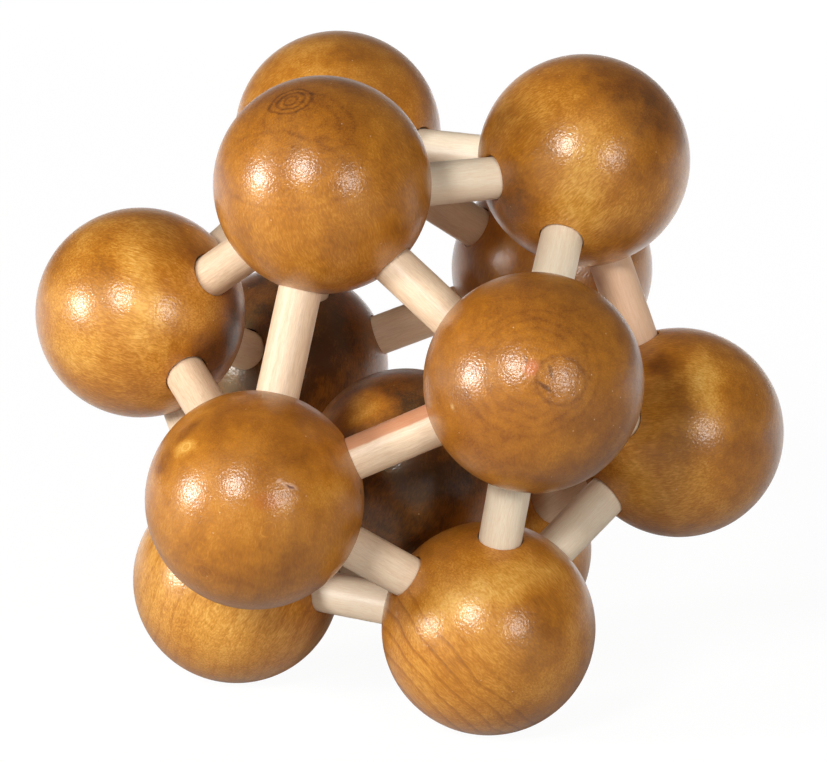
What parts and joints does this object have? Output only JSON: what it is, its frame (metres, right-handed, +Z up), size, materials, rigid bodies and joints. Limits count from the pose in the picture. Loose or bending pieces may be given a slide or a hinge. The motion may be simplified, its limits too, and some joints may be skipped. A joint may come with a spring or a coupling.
{
  "type": "wooden ball and dowel burr puzzle",
  "caption": "Wooden burr puzzle: stained balls at the corners of an icosahedral cage, joined by loose pale dowels in blind sockets, with a loose ball caught inside.",
  "frame": {"origin": "on the floor, below the middle of the cage", "axes": "+Z up along the axis through the foot triangle and the top triangle; +X from the middle to the first lower ball, the longest way across"},
  "size_m": [0.1074, 0.097, 0.0929],
  "materials": {
    "stained_ball": "honey-brown stained close-grained hardwood under satin-gloss lacquer",
    "pale_dowel": "natural pale birch, fine straight grain, lightly polished"
  },
  "bodies": {
    "foot_ball_1": {"foot_ball_1": "stained_ball"},
    "foot_ball_2": {"foot_ball_2": "stained_ball"},
    "foot_ball_3": {"foot_ball_3": "stained_ball"},
    "lower_ball_1": {"lower_ball_1": "stained_ball"},
    "lower_ball_2": {"lower_ball_2": "stained_ball"},
    "lower_ball_3": {"lower_ball_3": "stained_ball"},
    "upper_ball_1": {"upper_ball_1": "stained_ball"},
    "upper_ball_2": {"upper_ball_2": "stained_ball"},
    "upper_ball_3": {"upper_ball_3": "stained_ball"},
    "top_ball_1": {"top_ball_1": "stained_ball"},
    "top_ball_2": {"top_ball_2": "stained_ball"},
    "top_ball_3": {"top_ball_3": "stained_ball"},
    "foot_dowel_1": {"foot_dowel_1": "pale_dowel"},
    "foot_dowel_2": {"foot_dowel_2": "pale_dowel"},
    "foot_lower_dowel_1": {"foot_lower_dowel_1": "pale_dowel"},
    "foot_lower_dowel_2": {"foot_lower_dowel_2": "pale_dowel"},
    "foot_upper_dowel_1": {"foot_upper_dowel_1": "pale_dowel"},
    "foot_dowel_3": {"foot_dowel_3": "pale_dowel"},
    "foot_lower_dowel_3": {"foot_lower_dowel_3": "pale_dowel"},
    "foot_lower_dowel_4": {"foot_lower_dowel_4": "pale_dowel"},
    "foot_upper_dowel_2": {"foot_upper_dowel_2": "pale_dowel"},
    "foot_lower_dowel_5": {"foot_lower_dowel_5": "pale_dowel"},
    "foot_lower_dowel_6": {"foot_lower_dowel_6": "pale_dowel"},
    "foot_upper_dowel_3": {"foot_upper_dowel_3": "pale_dowel"},
    "lower_upper_dowel_1": {"lower_upper_dowel_1": "pale_dowel"},
    "lower_upper_dowel_2": {"lower_upper_dowel_2": "pale_dowel"},
    "lower_top_dowel_1": {"lower_top_dowel_1": "pale_dowel"},
    "lower_upper_dowel_3": {"lower_upper_dowel_3": "pale_dowel"},
    "lower_upper_dowel_4": {"lower_upper_dowel_4": "pale_dowel"},
    "lower_top_dowel_2": {"lower_top_dowel_2": "pale_dowel"},
    "lower_upper_dowel_5": {"lower_upper_dowel_5": "pale_dowel"},
    "lower_upper_dowel_6": {"lower_upper_dowel_6": "pale_dowel"},
    "lower_top_dowel_3": {"lower_top_dowel_3": "pale_dowel"},
    "upper_top_dowel_1": {"upper_top_dowel_1": "pale_dowel"},
    "upper_top_dowel_2": {"upper_top_dowel_2": "pale_dowel"},
    "upper_top_dowel_3": {"upper_top_dowel_3": "pale_dowel"},
    "upper_top_dowel_4": {"upper_top_dowel_4": "pale_dowel"},
    "upper_top_dowel_5": {"upper_top_dowel_5": "pale_dowel"},
    "upper_top_dowel_6": {"upper_top_dowel_6": "pale_dowel"},
    "top_dowel_1": {"top_dowel_1": "pale_dowel"},
    "top_dowel_2": {"top_dowel_2": "pale_dowel"},
    "top_dowel_3": {"top_dowel_3": "pale_dowel"},
    "captive_ball": {"captive_ball": "stained_ball"}
  },
  "joints": [
    {"name": "foot_dowel_1_slide", "type": "slide", "parent": "foot_ball_1", "child": "foot_dowel_1", "axis": [-0.0121, 0.9999, 0], "range_m": [0, 0.004]},
    {"name": "cage_opening", "type": "slide", "parent": "foot_dowel_1", "child": "foot_ball_2", "axis": [-0.0121, 0.9999, 0], "range_m": [0, 0.004]},
    {"name": "foot_dowel_2_slide", "type": "slide", "parent": "foot_ball_1", "child": "foot_dowel_2", "axis": [-0.8719, 0.4897, 0], "range_m": [0, 0.00408]},
    {"name": "foot_ball_3_slide", "type": "slide", "parent": "foot_dowel_2", "child": "foot_ball_3", "axis": [-0.8719, 0.4897, 0], "range_m": [0, 0.00408]},
    {"name": "foot_lower_dowel_1_slide", "type": "slide", "parent": "foot_ball_1", "child": "foot_lower_dowel_1", "axis": [0.6384, 0.5039, 0.5819], "range_m": [0, 0.00397]},
    {"name": "lower_ball_1_slide", "type": "slide", "parent": "foot_lower_dowel_1", "child": "lower_ball_1", "axis": [0.6384, 0.5039, 0.5819], "range_m": [0, 0.00397]},
    {"name": "foot_lower_dowel_2_slide", "type": "slide", "parent": "foot_ball_1", "child": "foot_lower_dowel_2", "axis": [-0.7997, -0.3044, 0.5175], "range_m": [0, 0.0039]},
    {"name": "lower_ball_3_slide", "type": "slide", "parent": "foot_lower_dowel_2", "child": "lower_ball_3", "axis": [-0.7997, -0.3044, 0.5175], "range_m": [0, 0.0039]},
    {"name": "foot_upper_dowel_1_slide", "type": "slide", "parent": "foot_ball_1", "child": "foot_upper_dowel_1", "axis": [0.131, -0.3114, 0.9412], "range_m": [0, 0.00397]},
    {"name": "upper_ball_1_slide", "type": "slide", "parent": "foot_upper_dowel_1", "child": "upper_ball_1", "axis": [0.131, -0.3114, 0.9412], "range_m": [0, 0.00397]},
    {"name": "foot_dowel_3_slide", "type": "slide", "parent": "foot_ball_2", "child": "foot_dowel_3", "axis": [-0.869, -0.4948, 0], "range_m": [0, 0.00404]},
    {"name": "foot_lower_dowel_3_slide", "type": "slide", "parent": "foot_ball_2", "child": "foot_lower_dowel_3", "axis": [0.6455, -0.5, 0.5774], "range_m": [0, 0.004]},
    {"name": "foot_lower_dowel_4_slide", "type": "slide", "parent": "foot_ball_2", "child": "foot_lower_dowel_4", "axis": [-0.7558, 0.309, 0.5774], "range_m": [0, 0.004]},
    {"name": "lower_ball_2_slide", "type": "slide", "parent": "foot_lower_dowel_4", "child": "lower_ball_2", "axis": [-0.7558, 0.309, 0.5774], "range_m": [0, 0.004]},
    {"name": "foot_upper_dowel_2_slide", "type": "slide", "parent": "foot_ball_2", "child": "foot_upper_dowel_2", "axis": [0.1839, 0.2982, 0.9366], "range_m": [0, 0.00415]},
    {"name": "upper_ball_2_slide", "type": "slide", "parent": "foot_upper_dowel_2", "child": "upper_ball_2", "axis": [0.1839, 0.2982, 0.9366], "range_m": [0, 0.00415]},
    {"name": "foot_lower_dowel_5_slide", "type": "slide", "parent": "foot_ball_3", "child": "foot_lower_dowel_5", "axis": [0.1222, 0.8079, 0.5765], "range_m": [0, 0.00401]},
    {"name": "foot_lower_dowel_6_slide", "type": "slide", "parent": "foot_ball_3", "child": "foot_lower_dowel_6", "axis": [0.1161, -0.8391, 0.5314], "range_m": [0, 0.0038]},
    {"name": "foot_upper_dowel_3_slide", "type": "slide", "parent": "foot_ball_3", "child": "foot_upper_dowel_3", "axis": [-0.3423, 0, 0.9396], "range_m": [0, 0.00403]},
    {"name": "upper_ball_3_slide", "type": "slide", "parent": "foot_upper_dowel_3", "child": "upper_ball_3", "axis": [-0.3423, 0, 0.9396], "range_m": [0, 0.00403]},
    {"name": "lower_upper_dowel_1_slide", "type": "slide", "parent": "lower_ball_1", "child": "lower_upper_dowel_1", "axis": [-0.4948, -0.7951, 0.3507], "range_m": [0, 0.00407]},
    {"name": "lower_upper_dowel_2_slide", "type": "slide", "parent": "lower_ball_1", "child": "lower_upper_dowel_2", "axis": [-0.4514, 0.8026, 0.39], "range_m": [0, 0.00403]},
    {"name": "lower_top_dowel_1_slide", "type": "slide", "parent": "lower_ball_1", "child": "lower_top_dowel_1", "axis": [-0.3528, 0, 0.9357], "range_m": [0, 0.00405]},
    {"name": "top_ball_1_slide", "type": "slide", "parent": "lower_top_dowel_1", "child": "top_ball_1", "axis": [-0.3528, 0, 0.9357], "range_m": [0, 0.00405]},
    {"name": "lower_upper_dowel_3_slide", "type": "slide", "parent": "lower_ball_2", "child": "lower_upper_dowel_3", "axis": [0.9235, 0, 0.3837], "range_m": [0, 0.0041]},
    {"name": "lower_upper_dowel_4_slide", "type": "slide", "parent": "lower_ball_2", "child": "lower_upper_dowel_4", "axis": [-0.465, -0.8055, 0.3673], "range_m": [0, 0.00402]},
    {"name": "lower_top_dowel_2_slide", "type": "slide", "parent": "lower_ball_2", "child": "lower_top_dowel_2", "axis": [0.1805, -0.3125, 0.9326], "range_m": [0, 0.00396]},
    {"name": "top_ball_2_slide", "type": "slide", "parent": "lower_top_dowel_2", "child": "top_ball_2", "axis": [0.1805, -0.3125, 0.9326], "range_m": [0, 0.00396]},
    {"name": "lower_upper_dowel_5_slide", "type": "slide", "parent": "lower_ball_3", "child": "lower_upper_dowel_5", "axis": [0.9043, -0.012, 0.4268], "range_m": [0, 0.00403]},
    {"name": "lower_upper_dowel_6_slide", "type": "slide", "parent": "lower_ball_3", "child": "lower_upper_dowel_6", "axis": [-0.4468, 0.7825, 0.4336], "range_m": [0, 0.00407]},
    {"name": "lower_top_dowel_3_slide", "type": "slide", "parent": "lower_ball_3", "child": "lower_top_dowel_3", "axis": [0.1786, 0.2783, 0.9437], "range_m": [0, 0.00427]},
    {"name": "top_ball_3_slide", "type": "slide", "parent": "lower_top_dowel_3", "child": "top_ball_3", "axis": [0.1786, 0.2783, 0.9437], "range_m": [0, 0.00427]},
    {"name": "upper_top_dowel_1_slide", "type": "slide", "parent": "upper_ball_1", "child": "upper_top_dowel_1", "axis": [0.1449, 0.7997, 0.5827], "range_m": [0, 0.00405]},
    {"name": "upper_top_dowel_2_slide", "type": "slide", "parent": "upper_ball_1", "child": "upper_top_dowel_2", "axis": [-0.7395, 0.3176, 0.5935], "range_m": [0, 0.00389]},
    {"name": "upper_top_dowel_3_slide", "type": "slide", "parent": "upper_ball_2", "child": "upper_top_dowel_3", "axis": [0.0997, -0.8214, 0.5616], "range_m": [0, 0.00394]},
    {"name": "upper_top_dowel_4_slide", "type": "slide", "parent": "upper_ball_2", "child": "upper_top_dowel_4", "axis": [-0.7817, -0.3146, 0.5385], "range_m": [0, 0.00393]},
    {"name": "upper_top_dowel_5_slide", "type": "slide", "parent": "upper_ball_3", "child": "upper_top_dowel_5", "axis": [0.6545, 0.507, 0.5609], "range_m": [0, 0.00395]},
    {"name": "upper_top_dowel_6_slide", "type": "slide", "parent": "upper_ball_3", "child": "upper_top_dowel_6", "axis": [0.65, -0.5035, 0.5692], "range_m": [0, 0.00397]},
    {"name": "top_dowel_1_slide", "type": "slide", "parent": "top_ball_1", "child": "top_dowel_1", "axis": [-0.8658, 0.4999, -0.0242], "range_m": [0, 0.004]},
    {"name": "top_dowel_2_slide", "type": "slide", "parent": "top_ball_1", "child": "top_dowel_2", "axis": [-0.866, -0.5, -0.0121], "range_m": [0, 0.004]},
    {"name": "top_dowel_3_slide", "type": "slide", "parent": "top_ball_2", "child": "top_dowel_3", "axis": [0, -0.9999, 0.0121], "range_m": [0, 0.004]},
    {"name": "captive_ball_lift", "type": "slide", "parent": "foot_ball_1", "child": "captive_ball", "axis": [0, 0, 1], "range_m": [0, 0.0246]}
  ],
  "couplings": [
    {"joint": "foot_dowel_1_slide", "follows": "cage_opening", "ratio": 1.0001},
    {"joint": "foot_dowel_2_slide", "follows": "cage_opening", "ratio": 1.021},
    {"joint": "foot_ball_3_slide", "follows": "cage_opening", "ratio": 1.021},
    {"joint": "foot_lower_dowel_1_slide", "follows": "cage_opening", "ratio": 0.99223},
    {"joint": "lower_ball_1_slide", "follows": "cage_opening", "ratio": 0.99223},
    {"joint": "foot_lower_dowel_2_slide", "follows": "cage_opening", "ratio": 0.97532},
    {"joint": "lower_ball_3_slide", "follows": "cage_opening", "ratio": 0.97532},
    {"joint": "foot_upper_dowel_1_slide", "follows": "cage_opening", "ratio": 0.9925},
    {"joint": "upper_ball_1_slide", "follows": "cage_opening", "ratio": 0.9925},
    {"joint": "foot_dowel_3_slide", "follows": "cage_opening", "ratio": 1.0105},
    {"joint": "foot_lower_dowel_3_slide", "follows": "cage_opening", "ratio": 1},
    {"joint": "foot_lower_dowel_4_slide", "follows": "cage_opening", "ratio": 1},
    {"joint": "lower_ball_2_slide", "follows": "cage_opening", "ratio": 1},
    {"joint": "foot_upper_dowel_2_slide", "follows": "cage_opening", "ratio": 1.0362},
    {"joint": "upper_ball_2_slide", "follows": "cage_opening", "ratio": 1.0362},
    {"joint": "foot_lower_dowel_5_slide", "follows": "cage_opening", "ratio": 1.0014},
    {"joint": "foot_lower_dowel_6_slide", "follows": "cage_opening", "ratio": 0.94971},
    {"joint": "foot_upper_dowel_3_slide", "follows": "cage_opening", "ratio": 1.0071},
    {"joint": "upper_ball_3_slide", "follows": "cage_opening", "ratio": 1.0071},
    {"joint": "lower_upper_dowel_1_slide", "follows": "cage_opening", "ratio": 1.0175},
    {"joint": "lower_upper_dowel_2_slide", "follows": "cage_opening", "ratio": 1.008},
    {"joint": "lower_top_dowel_1_slide", "follows": "cage_opening", "ratio": 1.0113},
    {"joint": "top_ball_1_slide", "follows": "cage_opening", "ratio": 1.0113},
    {"joint": "lower_upper_dowel_3_slide", "follows": "cage_opening", "ratio": 1.0247},
    {"joint": "lower_upper_dowel_4_slide", "follows": "cage_opening", "ratio": 1.0044},
    {"joint": "lower_top_dowel_2_slide", "follows": "cage_opening", "ratio": 0.9887},
    {"joint": "top_ball_2_slide", "follows": "cage_opening", "ratio": 0.9887},
    {"joint": "lower_upper_dowel_5_slide", "follows": "cage_opening", "ratio": 1.0063},
    {"joint": "lower_upper_dowel_6_slide", "follows": "cage_opening", "ratio": 1.0184},
    {"joint": "lower_top_dowel_3_slide", "follows": "cage_opening", "ratio": 1.0668},
    {"joint": "top_ball_3_slide", "follows": "cage_opening", "ratio": 1.0668},
    {"joint": "upper_top_dowel_1_slide", "follows": "cage_opening", "ratio": 1.0117},
    {"joint": "upper_top_dowel_2_slide", "follows": "cage_opening", "ratio": 0.97284},
    {"joint": "upper_top_dowel_3_slide", "follows": "cage_opening", "ratio": 0.98494},
    {"joint": "upper_top_dowel_4_slide", "follows": "cage_opening", "ratio": 0.98228},
    {"joint": "upper_top_dowel_5_slide", "follows": "cage_opening", "ratio": 0.98622},
    {"joint": "upper_top_dowel_6_slide", "follows": "cage_opening", "ratio": 0.99306},
    {"joint": "top_dowel_1_slide", "follows": "cage_opening", "ratio": 1.0003},
    {"joint": "top_dowel_2_slide", "follows": "cage_opening", "ratio": 1.0001},
    {"joint": "top_dowel_3_slide", "follows": "cage_opening", "ratio": 1.0001}
  ]
}
